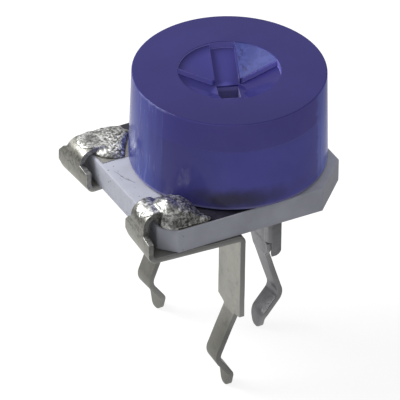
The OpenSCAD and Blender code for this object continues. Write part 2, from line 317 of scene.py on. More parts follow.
def film_material():
    """Carbon film: black and slightly uneven, with a dull print texture."""
    material, nodes, output = new_material("film")
    cloud = nodes.noise(0.35, detail=4)
    print_grain = nodes.noise(0.03, detail=2)
    colour = nodes.ramp(cloud, [(0.3, (0.012, 0.011, 0.020)), (0.7, (0.025, 0.024, 0.038))])
    surface(
        nodes,
        output,
        Base_Color=colour,
        Roughness=nodes.steps(cloud, 0.3, 0.7, 0.36, 0.5),
        Normal=nodes.bump(print_grain, 0.003, 0.5),
    )
    return material


def darkened_leads_and_hooks(nodes, colour, dark, darkening):
    """Darkens the lower part of the leads and, less so, the hooks, which have dark splashes too."""
    height = nodes.split(nodes.place())["Z"]
    leads = nodes.steps_mm(height, LEAD_TIP + 3.3, LEAD_TIP + 2.1, 0.0, darkening)
    hooks = nodes.steps_mm(height, UNDERSIDE + 0.1, UNDERSIDE + 0.5, 0.0, darkening * 0.45)
    splash = nodes.steps(nodes.noise(0.13, detail=4, roughness=0.7), 0.5, 0.58)
    colour = nodes.blend(nodes.times(splash, nodes.times(hooks, 2.0)), colour, shade(dark, 0.3))
    return nodes.blend(nodes.math("MAXIMUM", leads, hooks), colour, shade(dark, 0.42))


def sheet_metal(name, dark, light, edge, roughness, darkening=0.0):
    """Sheet with soft clouds, drawing lines along z, small stains, darker low leads and hooks, and bare
    sheared edges.
    """
    material, nodes, output = new_material(name)
    cloud = nodes.noise(0.7, detail=5, roughness=0.62)
    lines = nodes.noise(0.06, detail=3, stretch=(1, 1, 0.08))
    stain = nodes.noise(0.28, detail=4, roughness=0.7)
    sheared = nodes.attribute("sheared")
    stained = nodes.times(nodes.steps(stain, 0.52, 0.7), 0.45)
    colour = nodes.ramp(cloud, [(0.32, dark), (0.68, light)])
    colour = nodes.blend(stained, colour, shade(dark, 0.62))
    colour = nodes.blend(nodes.times(lines, 0.22), colour, shade(dark, 0.7))
    colour = nodes.blend(sheared, colour, edge)
    colour = darkened_leads_and_hooks(nodes, colour, dark, darkening)
    rough = nodes.steps(cloud, 0.3, 0.7, roughness - 0.05, roughness + 0.1)
    relief = nodes.math("MULTIPLY_ADD", lines, 0.6, stain)
    surface(
        nodes,
        output,
        Base_Color=colour,
        Metallic=1.0,
        Roughness=nodes.math("MULTIPLY_ADD", sheared, 0.12, rough),
        Normal=nodes.bump(relief, 0.006, 0.6),
    )
    return material


def solder_material():
    """Solder: bright where it froze smooth over the hook, grey and finely wrinkled on the mound."""
    material, nodes, output = new_material("solder")
    grain = nodes.noise(0.10, detail=4, roughness=0.7)
    coarse = nodes.noise(0.32, detail=3)
    crystals = nodes.attribute("grain")
    mottle = nodes.ramp(
        grain, [(0.41, (0.12, 0.12, 0.115)), (0.49, (0.36, 0.36, 0.34)), (0.57, (0.95, 0.95, 0.92))]
    )
    bright = nodes.ramp(coarse, [(0.38, (0.34, 0.34, 0.33)), (0.58, (0.93, 0.93, 0.90))])
    pits = nodes.times(nodes.steps(grain, 0.52, 0.43), 0.7)
    bright = nodes.blend(pits, bright, (0.15, 0.15, 0.14))
    height = nodes.times(grain, nodes.math("MULTIPLY_ADD", crystals, 0.6, 0.4))
    surface(
        nodes,
        output,
        Base_Color=nodes.blend(crystals, bright, mottle),
        Metallic=1.0,
        Roughness=nodes.math("MULTIPLY_ADD", crystals, 0.08, nodes.steps(grain, 0.3, 0.7, 0.3, 0.45)),
        Normal=nodes.bump(height, 0.03, 0.9),
    )
    return material


# ---- The cap's blue plastic ----

# The tones of the cap, with their painted light and shade, are laid out for the main view: across it, and
# towards its camera
ACROSS_VIEW = (math.cos(VIEW_AZIMUTH), math.sin(VIEW_AZIMUTH), 0)
TOWARDS_VIEW = (math.sin(VIEW_AZIMUTH), -math.cos(VIEW_AZIMUTH), 0)

ROOF_DARK = (0.037, 0.032, 0.170)
ROOF_LIGHT = (0.042, 0.037, 0.192)
# Painted shade on the roof's side towards the main view
ROOF_NEAR_SHADE = (0.032, 0.026, 0.135)
# Painted light: the band on the side and the thin wall below are lighter than the roof, most to the right
BAND_LEFT = (0.064, 0.058, 0.267)
BAND_RIGHT = (0.114, 0.101, 0.390)
BAND_LIGHT = (0.126, 0.112, 0.425)
WALL_LEFT = (0.073, 0.069, 0.310)
WALL_RIGHT = (0.158, 0.152, 0.610)
WALL_LIGHT = (0.175, 0.170, 0.665)
STRIP_LEFT = (0.080, 0.100, 0.36)
STRIP_RIGHT = (0.20, 0.26, 0.85)
GLINT = (0.17, 0.20, 0.52)
# Painted highlight on the cap's top edge at the left
EDGE_HIGHLIGHT = (0.22, 0.24, 0.50)
# Painted shade where the dark film shows through near the foot
FILM_SHADE = (0.076, 0.072, 0.10)
FOOT = (0.29, 0.28, 0.56)
# Painted light that lifts the shade in the driver recess and its square hole
DISH_LIT = (0.098, 0.090, 0.370)
HOLE_LIT = (0.34, 0.32, 0.66)
# Painted light on the walls of the slots and on the recess's rim
SLOT_WALL_LIT = (0.370, 0.345, 0.920)
MATT = (0.070, 0.085, 0.30)
MATT_FLECK = (0.088, 0.106, 0.36)
SCRATCH = (0.05, 0.05, 0.17)
ROOF_CLEARNESS = 0.05
WALL_CLEARNESS = 0.3


class CapPlaces:
    """Where a point of the cap lies, as numbers and masks that the layers of its colour share."""

    def __init__(self, nodes):
        self.nodes = nodes
        spot = nodes.place()
        flat = nodes.vector("MULTIPLY", spot, (1, 1, 0))
        cosine, sine = math.cos(ROTOR_ANGLE), math.sin(ROTOR_ANGLE)
        self.height = nodes.split(spot)["Z"]
        self.radius = nodes.vector("LENGTH", flat)
        self.near = nodes.vector("DOT_PRODUCT", flat, TOWARDS_VIEW)
        # -1 at the left outline of the main view, 1 at the right one
        self.side = nodes.math("DIVIDE", nodes.vector("DOT_PRODUCT", flat, ACROSS_VIEW), self.radius)
        # Lengths along the two slots
        self.along = nodes.vector("DOT_PRODUCT", spot, (cosine, sine, 0))
        self.over = nodes.vector("DOT_PRODUCT", spot, (-sine, cosine, 0))
        self.thin = self.down(ROOF - 0.05, ROOF + 0.03)
        outside = nodes.steps_mm(self.radius, CAP_TOP_RADIUS - 0.1, CAP_TOP_RADIUS - 0.04)
        self.skin = nodes.times(outside, self.down(0.002, 0.032))
        inside = nodes.steps_mm(self.radius, RECESS_RADIUS + 0.01, RECESS_RADIUS - 0.01)
        self.dished = nodes.times(inside, self.above(BORE_TOP - 0.02, BORE_TOP + 0.02))

    def above(self, low, high):
        """Goes from 0 at one height to 1 at another, in millimetres."""
        return self.nodes.steps_mm(self.height, low, high)

    def down(self, start, end, low=0.0, high=1.0):
        """Steps between two depths below the cap's top, in millimetres."""
        return self.nodes.steps_mm(self.height, CAP_HIGH.z - start, CAP_HIGH.z - end, low, high)


def cap_ground(nodes, at):
    """The dark milky roof with painted shade towards the main view, its band on the cap's side and the thin
    wall below, both lighter with painted light, most to the right.
    """
    cloud = nodes.noise(1.5, detail=3)
    mottle = nodes.steps(cloud, 0.3, 0.7)
    roof = nodes.ramp(cloud, [(0.3, ROOF_DARK), (0.7, ROOF_LIGHT)])
    # Painted shade: the roof darker on its side towards the main view
    roof = nodes.blend(nodes.steps_mm(at.near, 1.0, 2.9, 0.0, 0.5), roof, ROOF_NEAR_SHADE)
    # Painted light: the band and the thin wall lighter than the roof, most to the right
    rightward = nodes.steps(at.side, -0.6, 0.1)
    band = nodes.blend(rightward, BAND_LEFT, nodes.blend(mottle, BAND_RIGHT, BAND_LIGHT))
    wall = nodes.blend(rightward, WALL_LEFT, nodes.blend(mottle, WALL_RIGHT, WALL_LIGHT))
    return nodes.blend(at.thin, nodes.blend(at.skin, roof, band), wall)


def light_strips(nodes, at, colour):
    """Strips of light by the main view's left and right outlines. Gives the colour and their strength."""
    outer = nodes.steps(at.side, -0.70, -0.84, 0.0, 0.5)
    left = nodes.math("ADD", nodes.steps(at.side, -0.655, -0.675, 0.0, 0.5), outer)
    ragged = nodes.math("MULTIPLY_ADD", nodes.noise(0.3, detail=3), 0.06, at.side)
    outer = nodes.steps(at.side, 0.88, 0.97, 0.0, 0.25)
    right = nodes.math("ADD", nodes.steps(ragged, 0.905, 0.935, 0.0, 0.75), outer)
    streaks = nodes.steps(nodes.noise(0.22, detail=3, stretch=(1, 1, 0.12)), 0.25, 0.6, 0.5, 1.0)
    fade = nodes.times(at.down(0.2, 2.6, 0.6, 1.0), nodes.steps_mm(at.near, -2.6, -0.3, 0.12, 1.0))
    shine = nodes.times(nodes.math("MAXIMUM", left, right), at.skin, nodes.times(fade, streaks))
    colour = nodes.blend(shine, colour, nodes.blend(right, STRIP_LEFT, STRIP_RIGHT))
    glint = nodes.steps(nodes.noise(0.13, detail=3, stretch=(1, 1, 0.16)), 0.56, 0.66)
    glint = nodes.times(glint, nodes.times(left, fade), nodes.times(at.skin, 0.6))
    return nodes.blend(glint, colour, GLINT), shine


def painted_edge_highlight(nodes, at, colour):
    """A painted highlight on the cap's top edge at the left, in a broken line."""
    wear_and_highlight = nodes.times(at.down(0.1, 0.05), at.skin, nodes.steps(at.side, -0.55, -0.75))
    broken = nodes.steps(nodes.noise(0.45, detail=2), 0.44, 0.58, 0.15, 1.0)
    return nodes.blend(nodes.times(wear_and_highlight, broken, 0.6), colour, EDGE_HIGHLIGHT)


def roof_line(nodes, at, colour):
    """A fine painted glint at the right, where the roof meets the thin wall."""
    off = nodes.distance(at.height, (CAP_HIGH.z - ROOF) * MM)
    line = nodes.times(nodes.steps_mm(off, 0.035, 0.01), nodes.steps(at.side, 0.1, 0.6))
    return nodes.blend(nodes.times(line, at.skin, 0.4), colour, GLINT)


def painted_film_shade(nodes, at, colour):
    """Painted shade: a dark oval near the foot, on the side towards the main view, where the dark film shows
    through the wall; longer to the right.
    """
    sideways = nodes.math("ADD", at.side, 0.05)
    rightward = nodes.math("DIVIDE", sideways, 0.95)
    sideways = nodes.math("MAXIMUM", rightward, nodes.math("DIVIDE", sideways, -0.34))
    upward = nodes.math("SUBTRACT", at.height, (CAP_LOW.z + 0.40) * MM)
    upward = nodes.math("DIVIDE", upward, 0.42 * MM)
    squares = nodes.math("ADD", nodes.math("POWER", sideways, 2.0), nodes.math("POWER", upward, 2.0))
    wander = nodes.math("SUBTRACT", nodes.noise(0.6, detail=2), 0.5)
    away = nodes.math("MULTIPLY_ADD", wander, 0.9, nodes.math("SQRT", squares))
    facing = nodes.times(at.skin, nodes.steps_mm(at.near, 0.0, 1.0))
    dark = nodes.times(nodes.steps(away, 1.3, 0.25), facing, nodes.steps(at.side, 0.1, 0.7, 1.0, 0.5))
    return nodes.blend(nodes.times(dark, 0.85), colour, FILM_SHADE)


def light_foot(nodes, at, colour):
    """The rounded foot of the wall, which catches light."""
    foot = nodes.times(at.above(CAP_LOW.z + 0.14, CAP_LOW.z + 0.07), at.skin)
    return nodes.blend(nodes.times(foot, 0.75), colour, FOOT)


def recess_floor(nodes, at, colour):
    """Painted light in the thin driver recess, which lifts the shade there: more away from the main view and
    to its left, most of all in its square hole.
    """
    far = nodes.times(nodes.steps_mm(at.near, 0.5, -0.6, 0.55, 1.0), nodes.steps(at.side, 0.5, -0.4))
    colour = nodes.blend(nodes.times(at.dished, at.down(0.02, 0.25), far), colour, DISH_LIT)
    deep = at.down(RECESS_DEPTH + 0.23, RECESS_DEPTH + 0.29)
    return nodes.blend(nodes.times(at.dished, deep), colour, HOLE_LIT)


def recess_walls(nodes, at, colour):
    """Painted light on the upright walls of the two slots and the recess's rim, which lifts the shade there;
    the thin walls let light through too.
    """
    half = SLOT_WIDTH / 2
    for across, other, shaded, lit in ((at.along, at.over, 0.5, 0.15), (at.over, at.along, 0.3, 0.9)):
        off = nodes.distance(nodes.math("ABSOLUTE", across), half * MM)
        past = nodes.steps_mm(nodes.math("ABSOLUTE", other), half, half + 0.15)
        weight = nodes.steps_mm(across, -0.1, 0.1, shaded, lit)
        wall = nodes.times(nodes.steps_mm(off, 0.012, 0.006), at.dished, past, weight)
        colour = nodes.blend(wall, colour, SLOT_WALL_LIT)
    off = nodes.distance(at.radius, RECESS_RADIUS * MM)
    rim = nodes.times(nodes.steps_mm(off, 0.02, 0.012), at.down(0.0, 0.02))
    weight = nodes.steps_mm(at.near, 0.6, -0.8, 0.1, 0.65)
    return nodes.blend(nodes.times(rim, weight), colour, SLOT_WALL_LIT)


def matt_sector(nodes, at, colour):
    """One sector of the recess, matt and lighter, with flecks and scratches. Gives the colour and the
    sector's mask.
    """
    start = SLOT_WIDTH / 2 + 0.02
    matt = nodes.times(
        nodes.steps_mm(at.along, start, start + 0.02), nodes.steps_mm(at.over, start, start + 0.02), at.dished
    )
    fleck = nodes.steps(nodes.noise(0.32, detail=3, roughness=0.6), 0.45, 0.6)
    scratch = nodes.steps(nodes.noise(0.15, detail=4, roughness=0.7, stretch=(1, 0.5, 1)), 0.55, 0.6)
    scratch = nodes.times(scratch, nodes.steps_mm(at.along, 1.1, 0.6, 0.0, 0.9))
    colour = nodes.blend(matt, colour, MATT)
    colour = nodes.blend(nodes.times(matt, fleck), colour, MATT_FLECK)
    return nodes.blend(nodes.times(matt, scratch), colour, SCRATCH), matt


def blue_plastic():
    """Dyed translucent moulding: milky in its thick roof, clearer where its wall is thin; much of its colour
    is painted light and shade.
    """
    material, nodes, output = new_material("blue_plastic")
    at = CapPlaces(nodes)
    colour, shine = light_strips(nodes, at, cap_ground(nodes, at))
    for layer in (painted_edge_highlight, roof_line, painted_film_shade, light_foot, recess_floor, recess_walls):
        colour = layer(nodes, at, colour)
    colour, matt = matt_sector(nodes, at, colour)
    dust = nodes.noise(0.06, detail=2)
    flow = nodes.noise(0.9, detail=2, stretch=(1, 1, 0.35))
    clearness = nodes.steps(at.thin, 0.0, 1.0, ROOF_CLEARNESS, WALL_CLEARNESS)
    surface(
        nodes,
        output,
        Base_Color=colour,
        Roughness=nodes.math("MAXIMUM", nodes.steps(dust, 0.35, 0.75, 0.12, 0.24), nodes.times(matt, 0.4)),
        IOR=1.5,
        Specular_IOR_Level=0.15,
        Transmission_Weight=nodes.times(nodes.math("SUBTRACT", 1.0, shine), clearness),
        Normal=nodes.bump(flow, 0.006, 0.5),
    )
    return material


# ---- Making pieces ----


def object_from(name, data):
    """A new object in the scene."""
    made = bpy.data.objects.new(name, data)
    bpy.context.scene.collection.objects.link(made)
    return made


def mesh_from(name, vertices, faces):
    """A checked mesh."""
    mesh = bpy.data.meshes.new(name)
    mesh.from_pydata([tuple(v) for v in vertices], [], faces)
    mesh.validate()
    return mesh


def discard(tool):
    """Removes an object that was only a tool, with its mesh or curve."""
    data = tool.data
    bpy.data.objects.remove(tool)
    if isinstance(data, bpy.types.Mesh):
        bpy.data.meshes.remove(data)
    else:
        bpy.data.curves.remove(data)


def applied(mesh_object):
    """The object with its modifiers made into plain mesh."""
    graph = bpy.context.evaluated_depsgraph_get()
    mesh = bpy.data.meshes.new_from_object(mesh_object.evaluated_get(graph))
    old = mesh_object.data
    mesh_object.modifiers.clear()
    mesh_object.data = mesh
    bpy.data.meshes.remove(old)
    return mesh_object


def cleaned(mesh_object, merge=1e-5):
    """Merges doubles and turns every face outwards."""
    shape = bmesh.new()
    shape.from_mesh(mesh_object.data)
    bmesh.ops.remove_doubles(shape, verts=shape.verts, dist=merge)
    bmesh.ops.recalc_face_normals(shape, faces=shape.faces)
    shape.to_mesh(mesh_object.data)
    shape.free()
    return mesh_object


def joined(name, parts):
    """Several mesh objects as one, with their attributes."""
    with bpy.context.temp_override(active_object=parts[0], selected_editable_objects=parts):
        bpy.ops.object.join()
    parts[0].name = name
    return parts[0]


def finish_piece(mesh_object, node, body, material, sharp=35):
    """Brings a piece modelled in millimetres to metres, and ties it to its CAD node and body."""
    mesh = mesh_object.data
    mesh.transform(Matrix.Scale(MM, 4))
    mesh.materials.clear()
    mesh.materials.append(material)
    mesh.polygons.foreach_set("material_index", [0] * len(mesh.polygons))
    mesh.polygons.foreach_set("use_smooth", [True] * len(mesh.polygons))
    mesh.set_sharp_from_angle(angle=math.radians(sharp))
    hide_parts(node)
    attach(mesh_object, body)
    return mesh_object


def dress(node, material):
    """Gives a CAD node that keeps its own shape its material."""
    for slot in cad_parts[node].material_slots:
        slot.material = material


def set_inputs(modifier, tree, values):
    """Sets a modifier's inputs by the identifiers of their named sockets."""
    for item in tree.interface.items_tree:
        if item.item_type == "SOCKET" and item.in_out == "INPUT" and item.name in values:
            modifier[item.identifier] = values[item.name]


def through_tree(mesh_object, tree, values):
    """Runs a Geometry Nodes tree over an object and keeps the result as plain mesh."""
    modifier = mesh_object.modifiers.new(tree.name, "NODES")
    modifier.node_group = tree
    set_inputs(modifier, tree, values)
    return applied(mesh_object)


def new_tree(name, inputs):
    """A Geometry Nodes tree with named inputs; its helper, its inputs' sockets and its output node."""
    tree = bpy.data.node_groups.new(name, "GeometryNodeTree")
    tree.interface.new_socket("Geometry", in_out="INPUT", socket_type="NodeSocketGeometry")
    for label, kind in inputs.items():
        tree.interface.new_socket(label, in_out="INPUT", socket_type="NodeSocket" + kind)
    tree.interface.new_socket("Geometry", in_out="OUTPUT", socket_type="NodeSocketGeometry")
    nodes = Nodes(tree)
    return tree, nodes, nodes.add("NodeGroupInput").outputs, nodes.add("NodeGroupOutput")


def close_tree(nodes, geometry, material, leave):
    """Ends a tree with Realize Instances and Set Material."""
    real = nodes.add("GeometryNodeRealizeInstances", {"Geometry": geometry}).outputs["Geometry"]
    painted = nodes.add("GeometryNodeSetMaterial", {"Geometry": real, "Material": material})
    nodes.tree.links.new(painted.outputs["Geometry"], leave.inputs["Geometry"])


# ---- Outlines ----


def arc_points(before, corner, after, radius, turns):
    """Points of the round corner that joins two runs in a plane."""
    arrive = (corner - before).normalized()
    leave = (after - corner).normalized()
    turn = math.atan2(arrive.x * leave.y - arrive.y * leave.x, arrive.dot(leave))
    if radius <= 0 or abs(turn) < 1e-4:
        return [corner]
    setback = radius * math.tan(abs(turn) / 2)
    side = math.copysign(1, turn)
    first = corner - arrive * setback
    centre = first + side * radius * Vector((-arrive.y, arrive.x))
    spoke = first - centre
    made = []
    for k in range(turns + 1):
        a = turn * k / turns
        x = spoke.x * math.cos(a) - spoke.y * math.sin(a)
        y = spoke.x * math.sin(a) + spoke.y * math.cos(a)
        made.append(centre + Vector((x, y)))
    return made


def rounded_outline(points, radii, turns=4):
    """A closed outline with its corners rounded."""
    points = [Vector(p) for p in points]
    made = []
    for i, corner in enumerate(points):
        made += arc_points(points[i - 1], corner, points[(i + 1) % len(points)], radii[i], turns)
    return [tuple(p) for p in made]


def bent_path(points, radii, step=0.02):
    """Close points along runs with round bends, to fold a blank over."""
    points = [Vector(p) for p in points]
    made = [points[0]]
    for i in range(1, len(points) - 1):
        made += arc_points(points[i - 1], points[i], points[i + 1], radii[i], 12)
    made.append(points[-1])
    dense = [made[0]]
    for a, b in zip(made, made[1:]):
        count = max(1, round((b - a).length / step))
        dense.extend(a.lerp(b, (k + 1) / count) for k in range(count))
    return dense


def lathe(name, section, steps):
    """A closed section of (radius, height) points turned round the z axis."""
    vertices, faces = [], []
    count = len(section)
    for i in range(steps):
        a = 2 * math.pi * i / steps
        vertices.extend((r * math.cos(a), r * math.sin(a), z) for r, z in section)
    for i in range(steps):
        j = (i + 1) % steps
        for k in range(count):
            n = (k + 1) % count
            faces.append((i * count + k, j * count + k, j * count + n, i * count + n))
    return cleaned(object_from(name, mesh_from(name, vertices, faces)))


def block(name, low, high):
    """A box between two corners, as a cutting tool."""
    x, y, z = zip(low, high)
    vertices = [(x[i], y[j], z[k]) for i in (0, 1) for j in (0, 1) for k in (0, 1)]
    faces = [(0, 1, 3, 2), (4, 6, 7, 5), (0, 4, 5, 1), (2, 3, 7, 6), (0, 2, 6, 4), (1, 5, 7, 3)]
    return cleaned(object_from(name, mesh_from(name, vertices, faces)))


def cut(target, tool, operation="DIFFERENCE"):
    """One exact boolean, after which its tool is gone."""
    modifier = target.modifiers.new("cut", "BOOLEAN")
    modifier.operation = operation
    modifier.solver = "EXACT"
    modifier.object = tool
    applied(target)
    discard(tool)
    return target


# ---- Folded sheet ----


def bar_section(low, high, thickness, edge, turns=3):
    """Ring of (across, up) points round a flat bar with rounded edges."""
    half = thickness / 2
    ring = []
    for across, up, start in ((high, half, 0), (low, half, 90), (low, -half, 180), (high, -half, 270)):
        out = math.copysign(edge, math.cos(math.radians(start + 45)))
        rise = math.copysign(edge, math.sin(math.radians(start + 45)))
        for k in range(turns + 1):
            a = math.radians(start + 90 * k / turns)
            ring.append((across - out + edge * math.cos(a), up - rise + edge * math.sin(a)))
    return ring


def soften(values, reach):
    """A running mean, which rounds the corners of a stamped outline."""
    if reach == 0:
        return values
    kernel = np.ones(2 * reach + 1) / (2 * reach + 1)
    return np.convolve(np.pad(values, reach, mode="edge"), kernel, mode="valid")


def mark_sheared(mesh, ring_size, sections):
    """Marks the faces that the shears left: the two edges and both ends of a blank."""
    marks = mesh.attributes.new("sheared", "FLOAT", "FACE")
    turns = ring_size // 4 - 1
    values = []
    for _ in range(sections - 1):
        for k in range(ring_size):
            corner, step = divmod(k, turns + 1)
            side_run = step == turns and corner in (1, 3)
            flat_run = step == turns and corner in (0, 2)
            values.append(1.0 if side_run else 0.0 if flat_run else 0.6)
    values += [1.0, 1.0]
    marks.data.foreach_set("value", values)


def flat_blank(name, path, width, thickness=SHEET, edge=0.03, smooth=2, lift=0.0):
    """A flat stamped blank: x runs along the unfolded path, y across it and z through the sheet.

    width(x, z, s) gives the limits across it at a point of the path, s along it.
    """
    lengths = np.concatenate([[0], np.cumsum([(b - a).length for a, b in zip(path, path[1:])])])
    limits = np.array([width(p.x, p.y, s) for p, s in zip(path, lengths)])
    low, high = soften(limits[:, 0], smooth), soften(limits[:, 1], smooth)
    vertices, faces = [], []
    for i, s in enumerate(lengths):
        # Both ends are rounded off as the long edges are
        from_end = min(s, lengths[-1] - s)
        shrink = edge * (1 - math.sqrt(1 - (1 - min(1.0, from_end / edge)) ** 2)) * 0.9
        ring = bar_section(low[i] + shrink, high[i] - shrink, thickness - 2 * shrink, (edge - shrink) * 0.99)
        vertices.extend((s, y, z + lift) for y, z in ring)
    size = len(ring)
    for i in range(len(lengths) - 1):
        for k in range(size):
            n = (k + 1) % size
            faces.append((i * size + k, (i + 1) * size + k, (i + 1) * size + n, i * size + n))
    last = (len(lengths) - 1) * size
    faces.append(tuple(range(size)))
    faces.append(tuple(last + k for k in reversed(range(size))))
    mesh = bpy.data.meshes.new(name)
    mesh.from_pydata(vertices, [], faces)
    mark_sheared(mesh, size, len(lengths))
    return object_from(name, mesh)


def path_object(name, path, upright=True):
    """The folding line as a curve: in x and z, or in x and y."""
    curve = bpy.data.curves.new(name, "CURVE")
    curve.dimensions = "3D"
    line = curve.splines.new("POLY")
    line.points.add(len(path) - 1)
    for point, p in zip(line.points, path):
        point.co = (p.x, 0, p.y, 1) if upright else (p.x, p.y, 0, 1)
    return object_from(name, curve)


def folding_tree():
    """Folds a flat blank along a line, and leaves the small unevenness of hand-fed stampings."""
    inputs = {"Folding Line": "Object", "Across": "Vector", "Waver": "Float", "Material": "Material"}
    tree, nodes, enter, leave = new_tree("fold_blank", inputs)
    line = nodes.add("GeometryNodeObjectInfo", {"Object": enter["Folding Line"]}).outputs["Geometry"]
    spot = nodes.add("GeometryNodeInputPosition").outputs["Position"]
    place = nodes.split(spot)
    inputs = {"Curves": line, "Length": place["X"]}
    sample = nodes.add("GeometryNodeSampleCurve", inputs, mode="LENGTH").outputs
    across = nodes.scaled(enter["Across"], place["Y"])
    up = nodes.vector("CROSS_PRODUCT", sample["Tangent"], enter["Across"])
    through = nodes.scaled(up, place["Z"])
    target = nodes.vector("ADD", sample["Position"], nodes.vector("ADD", across, through))
    drift = nodes.add("ShaderNodeTexNoise", {"Vector": spot, "Scale": 0.9, "Detail": 1.0}).outputs["Color"]
    drift = nodes.scaled(nodes.vector("SUBTRACT", drift, (0.5, 0.5, 0.5)), enter["Waver"])
    folded = nodes.add(
        "GeometryNodeSetPosition",
        {"Geometry": enter["Geometry"], "Position": nodes.vector("ADD", target, drift)},
    ).outputs["Geometry"]
    close_tree(nodes, folded, enter["Material"], leave)
    return tree


def folded_blank(name, path, width, tree, material, upright=True, waver=0.02, **blank):
    """One blank, folded along its path in x and z, or in plan where upright is False."""
    piece = flat_blank(name, path, width, **blank)
    line = path_object(name + "_line", path, upright)
    across = (0.0, 1.0, 0.0) if upright else (0.0, 0.0, 1.0)
    values = {"Folding Line": line, "Across": across, "Waver": waver, "Material": material}
    through_tree(piece, tree, values)
    discard(line)
    return cleaned(piece)


def lead_half_width(z):
    """Half of a lead's width below the board: it tapers to a blunt round tip."""
    above_tip = z - LEAD_TIP
    taper = min(1.0, above_tip / TIP_TAPER)
    rounding = TIP_ROUND * (1 - math.sqrt(max(0.0, 1 - (1 - min(1.0, above_tip / TIP_ROUND)) ** 2)))
    return TIP_HALF + (LEAD_WIDTH / 2 - TIP_HALF) * taper - rounding


# Corners and bends of a lead's middle line, from the tip up: (out from the leg, height, bend)
END_LEAD = [
    (0.13, LEAD_TIP, 0),
    (0.13, LEAD_TIP + 0.58, 0.28),
    (0.69, LEAD_TIP + 1.34, 0.45),
    (0, -0.1, 0.25),
]
WIPER_LEAD = [
    (-0.08, LEAD_TIP, 0),
    (-0.08, LEAD_TIP + 0.5, 0.5),
    (0.6, LEAD_TIP + 1.34, 0.45),
    (0, 0.09, 0.15),
]


def end_terminal_path(rise, slope):
    """Middle line of an end terminal, from its lead's tip to its hook's tip, and the bends on it."""
    flange = UNDERSIDE - SHEET / 2
    a = math.radians(slope)
    peak = DECK + rise - SHEET / 2 + HOOK_BEND * (math.tan(math.radians(45) + a / 2) - 1)
    arm = (peak - FILM_TOP - SHEET / 2 * math.cos(a)) / math.sin(a)
    tip = (-UPRIGHT + arm * math.cos(a), peak - arm * math.sin(a))
    lead = [(SHEET / 2 - out, z) for out, z, _ in END_LEAD]
    points = lead + [(SHEET / 2, flange), (-UPRIGHT, flange), (-UPRIGHT, peak), tip]
    return points, [bend for _, _, bend in END_LEAD] + [0.15, 0.2, HOOK_BEND, 0]


def at_clip(side):
    """Place of an end terminal: at its lead, turned a little so that the clips lean together."""
    angle = side * math.asin(CLIP_SHIFT / UPRIGHT)
    return Matrix.Translation((-LEAD_X, side * LEAD_Y, 0)) @ Matrix.Rotation(angle, 4, "Z")


def end_terminal_width(x, z, s):
    """Limits across an end terminal: lead, leg and flange, then upright with its ear, and hook."""
    half = LEG_WIDTH / 2
    on_leg = x > -1
    on_upright = x < -UPRIGHT + 0.05
    if on_leg and z < SHOULDER:
        half = lead_half_width(z)
        return -half, half
    if on_leg and z < UNDERSIDE - 0.3:
        half = min(half, LEG_WIDTH / 2 - SHOULDER_CHAMFER + (z - SHOULDER))
        return -half, half
    if z < UNDERSIDE + 0.1:
        return -half, half
    ear = min(UPRIGHT_RANGE[1], UPRIGHT_RANGE[1] - (z - (DECK - 0.4)))
    if on_upright and z < DECK - 0.3:
        return UPRIGHT_RANGE[0], ear
    if on_upright and z < DECK - 0.08:
        return HOOK_RANGE[0], max(ear, HOOK_RANGE[1])
    return HOOK_RANGE


def end_terminal(name, side, rise, slope, tree, material):
    """Hook, upright with its ear, flange, leg and lead: one blank folded along one line."""
    points, bends = end_terminal_path(rise, slope)
    piece = folded_blank(name, bent_path(points, bends), end_terminal_width, tree, material)
    piece.data.transform(at_clip(side))
    return piece


def wiper_leg_width(x, z, s):
    """Limits across the wiper leg: sloping shoulders, one side relieved, then the web."""
    if z < 0:
        half = lead_half_width(z)
        return -half, half
    if z < RELIEF_TOP:
        side = LEAD_WIDTH / 2 + WIPER_SHOULDER[0] * min(1.0, z / WIPER_SHOULDER[1])
        return -min(side, RELIEF_HALF), side
    if z < UNDERSIDE - 0.36:
        return -WEB_HALF, WEB_HALF
    return -WIPER_WIDTH / 2, WIPER_WIDTH / 2


def wiper_wing_width(x, y, s):
    """Limits in height along a wing: a relief beside the fold and a round outer corner."""
    from_end = LEAD_X + WING_DEPTH - x
    corner = WING_CORNER - math.sqrt(max(0.0, WING_CORNER**2 - max(0.0, WING_CORNER - from_end) ** 2))
    low = RELIEF_TOP if x < LEAD_X + SHEET else 0.02 + corner
    return low, UNDERSIDE - 0.35


def wiper_terminal(tree, material):
    """Eyelet, strip, leg with two wings folded back, and the lead."""
    strip = UNDERSIDE - SHEET / 2
    lead = [(LEAD_X + SHEET / 2 + out, z) for out, z, _ in WIPER_LEAD]
    points = lead + [(LEAD_X + SHEET / 2, strip), (1.0, strip)]
    bends = [bend for _, _, bend in WIPER_LEAD] + [0.15, 0]
    parts = [folded_blank("wiper_leg", bent_path(points, bends), wiper_leg_width, tree, material)]
    for side in (-1, 1):
        fold = side * (WIPER_WIDTH - SHEET) / 2
        middle = LEAD_X + SHEET / 2
        plan = [(middle, side * (WIPER_WIDTH / 2 - 0.27)), (middle, fold), (LEAD_X + WING_DEPTH, fold)]
        line = bent_path(plan, [0, 0.15, 0], step=0.01)
        wing = folded_blank(
            "wiper_wing", line, wiper_wing_width, tree, material, upright=False, smooth=0, waver=0.0
        )
        parts.append(wing)
    ring = bar_section(BASE_HOLE, EYELET_RADIUS, SHEET - 0.004, 0.03)
    eyelet = lathe("wiper_eyelet", [(r, z + strip) for r, z in ring], 96)
    eyelet.data.attributes.new("sheared", "FLOAT", "FACE")
    return joined("wiper_terminal_sheet", [*parts, eyelet])


# ---- Solder ----


def smooth_bump(distance):
    """1 in the middle, falling on a round shoulder to 0 at a distance of 1."""
    t = min(1.0, max(0.0, distance))
    return max(0.0, 1 - t ** 2.4) ** 0.62


